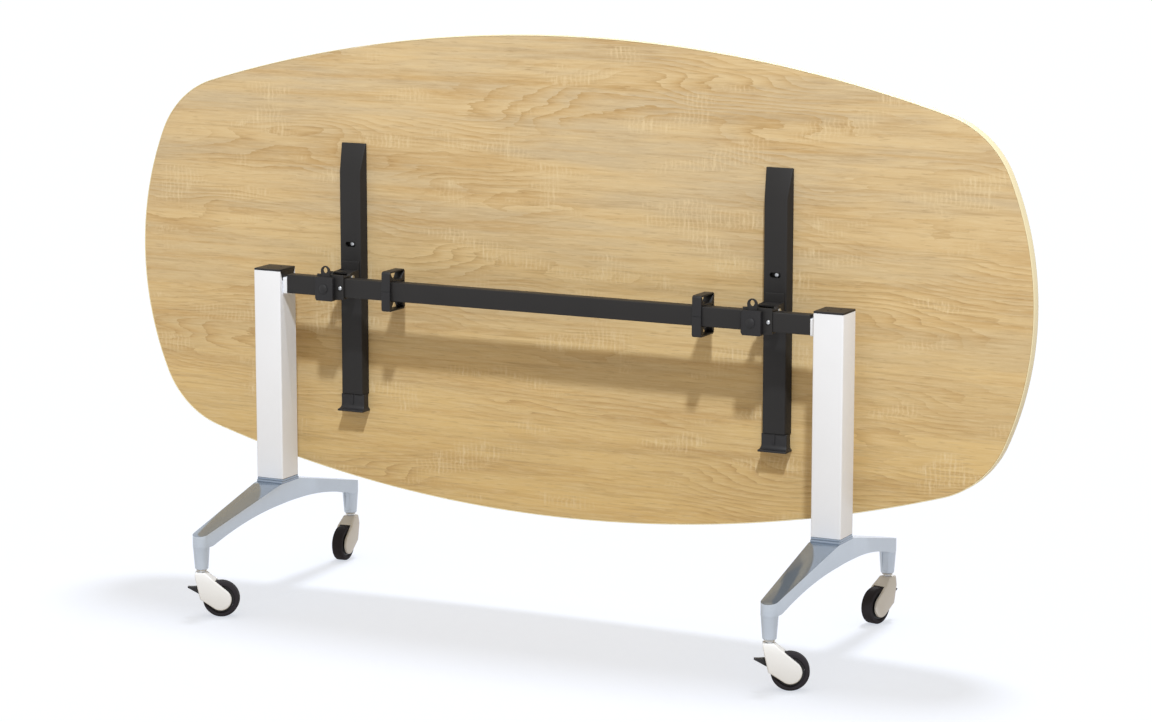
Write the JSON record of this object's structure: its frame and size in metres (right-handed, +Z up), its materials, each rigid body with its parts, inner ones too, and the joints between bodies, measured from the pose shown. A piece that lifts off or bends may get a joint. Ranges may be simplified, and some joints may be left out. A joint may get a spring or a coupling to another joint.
{
  "type": "flip top training table",
  "caption": "Mobile training table, shown folded: a rounded oak-look top on two arms flips upright about a beam between white columns on cast feet with braked swivel casters.",
  "frame": {"origin": "on the floor, under the middle of the folded table's bounding box", "axes": "+X along the beam and the long side of the top, +Y from the columns towards the folded top, +Z up"},
  "size_m": [2.04, 0.6568, 1.1946],
  "materials": {
    "oak_board": "satin oak-look laminate",
    "edge_band": "satin cream edging",
    "black_steel": "satin black powder coat",
    "black_plastic": "moulded black",
    "bright_steel": "zinc plated",
    "white_paint": "fine-textured white powder coat",
    "cast_aluminium": "satin sides, polished top",
    "white_plastic": "moulded warm white",
    "tyre_rubber": "matte black tread"
  },
  "bodies": {
    "base": {"beam": "black_steel", "beam_collar_left": "white_paint", "beam_collar_right": "white_paint", "hinge_saddle_left": "black_steel", "hinge_saddle_right": "black_steel", "saddle_screw_left": "bright_steel", "saddle_screw_right": "bright_steel", "hinge_pin_left": "bright_steel", "hinge_pin_right": "bright_steel", "latch_housing_left": "black_plastic", "latch_housing_right": "black_plastic", "latch_rivet_left": "black_plastic", "latch_rivet_right": "black_plastic", "column_left": "white_paint", "column_right": "white_paint", "column_cap_left": "black_plastic", "column_cap_right": "black_plastic", "foot_left": "cast_aluminium", "foot_right": "cast_aluminium", "cable_clip_upper_left": "black_plastic", "cable_clip_upper_right": "black_plastic", "cable_clip_lower_left": "black_plastic", "cable_clip_lower_right": "black_plastic", "caster_stem_front_left": "bright_steel", "caster_stem_back_left": "bright_steel", "caster_stem_front_right": "bright_steel", "caster_stem_back_right": "bright_steel"},
    "table_top": {"table_board": "oak_board", "edge_band": "edge_band", "support_arm_left": "black_steel", "support_arm_right": "black_steel", "arm_screw_left": "bright_steel", "arm_screw_right": "bright_steel", "arm_bumper_left": "black_plastic", "arm_bumper_right": "black_plastic", "hinge_leaf_left": "black_steel", "hinge_leaf_right": "black_steel"},
    "latch_left": {"latch_lever_left": "black_steel"},
    "latch_right": {"latch_lever_right": "black_steel"},
    "swivel_front_left": {"caster_fork_front_left": "white_plastic", "caster_axle_front_left": "bright_steel"},
    "wheel_front_left": {"caster_tyre_front_left": "tyre_rubber", "caster_hub_front_left": "black_plastic"},
    "brake_front_left": {"brake_pedal_front_left": "black_plastic"},
    "swivel_back_left": {"caster_fork_back_left": "white_plastic", "caster_axle_back_left": "bright_steel"},
    "wheel_back_left": {"caster_tyre_back_left": "tyre_rubber", "caster_hub_back_left": "black_plastic"},
    "brake_back_left": {"brake_pedal_back_left": "black_plastic"},
    "swivel_front_right": {"caster_fork_front_right": "white_plastic", "caster_axle_front_right": "bright_steel"},
    "wheel_front_right": {"caster_tyre_front_right": "tyre_rubber", "caster_hub_front_right": "black_plastic"},
    "brake_front_right": {"brake_pedal_front_right": "black_plastic"},
    "swivel_back_right": {"caster_fork_back_right": "white_plastic", "caster_axle_back_right": "bright_steel"},
    "wheel_back_right": {"caster_tyre_back_right": "tyre_rubber", "caster_hub_back_right": "black_plastic"},
    "brake_back_right": {"brake_pedal_back_right": "black_plastic"}
  },
  "joints": [
    {"name": "top_flip", "type": "hinge", "parent": "base", "child": "table_top", "pos_m": [0, 0.01527, 0.6746], "axis": [1, 0, 0], "range_deg": [0, 90]},
    {"name": "latch_release_left", "type": "hinge", "parent": "base", "child": "latch_left", "pos_m": [-0.4985, -0.03133, 0.6566], "axis": [0, -1, 0], "range_deg": [0, 12], "stiffness_Nm_per_rad": 0.2, "springref_deg": -11.46},
    {"name": "latch_release_right", "type": "hinge", "parent": "base", "child": "latch_right", "pos_m": [0.4755, -0.03133, 0.6566], "axis": [0, -1, 0], "range_deg": [0, 12], "stiffness_Nm_per_rad": 0.2, "springref_deg": -11.46},
    {"name": "caster_swivel_front_left", "type": "hinge", "parent": "base", "child": "swivel_front_left", "pos_m": [-0.639, -0.30773, 0.0925], "axis": [0, 0, 1], "continuous": true},
    {"name": "wheel_spin_front_left", "type": "hinge", "parent": "swivel_front_left", "child": "wheel_front_left", "pos_m": [-0.60246, -0.29146, 0.0375], "axis": [-0.4067, 0.9135, 0], "continuous": true},
    {"name": "brake_press_front_left", "type": "hinge", "parent": "swivel_front_left", "child": "brake_front_left", "pos_m": [-0.639, -0.30773, 0.058], "axis": [0.4067, -0.9135, 0], "range_deg": [0, 14]},
    {"name": "caster_swivel_back_left", "type": "hinge", "parent": "base", "child": "swivel_back_left", "pos_m": [-0.639, 0.29827, 0.0925], "axis": [0, 0, 1], "continuous": true},
    {"name": "wheel_spin_back_left", "type": "hinge", "parent": "swivel_back_left", "child": "wheel_back_left", "pos_m": [-0.63482, 0.25849, 0.0375], "axis": [0.9945, 0.1045, 0], "continuous": true},
    {"name": "brake_press_back_left", "type": "hinge", "parent": "swivel_back_left", "child": "brake_back_left", "pos_m": [-0.639, 0.29827, 0.058], "axis": [-0.9945, -0.1045, 0], "range_deg": [0, 14]},
    {"name": "caster_swivel_front_right", "type": "hinge", "parent": "base", "child": "swivel_front_right", "pos_m": [0.639, -0.30773, 0.0925], "axis": [0, 0, 1], "continuous": true},
    {"name": "wheel_spin_front_right", "type": "hinge", "parent": "swivel_front_right", "child": "wheel_front_right", "pos_m": [0.67554, -0.29146, 0.0375], "axis": [-0.4067, 0.9135, 0], "continuous": true},
    {"name": "brake_press_front_right", "type": "hinge", "parent": "swivel_front_right", "child": "brake_front_right", "pos_m": [0.639, -0.30773, 0.058], "axis": [0.4067, -0.9135, 0], "range_deg": [0, 14]},
    {"name": "caster_swivel_back_right", "type": "hinge", "parent": "base", "child": "swivel_back_right", "pos_m": [0.639, 0.29827, 0.0925], "axis": [0, 0, 1], "continuous": true},
    {"name": "wheel_spin_back_right", "type": "hinge", "parent": "swivel_back_right", "child": "wheel_back_right", "pos_m": [0.63, 0.2593, 0.0375], "axis": [0.9744, -0.225, 0], "continuous": true},
    {"name": "brake_press_back_right", "type": "hinge", "parent": "swivel_back_right", "child": "brake_back_right", "pos_m": [0.639, 0.29827, 0.058], "axis": [-0.9744, 0.225, 0], "range_deg": [0, 14]}
  ]
}
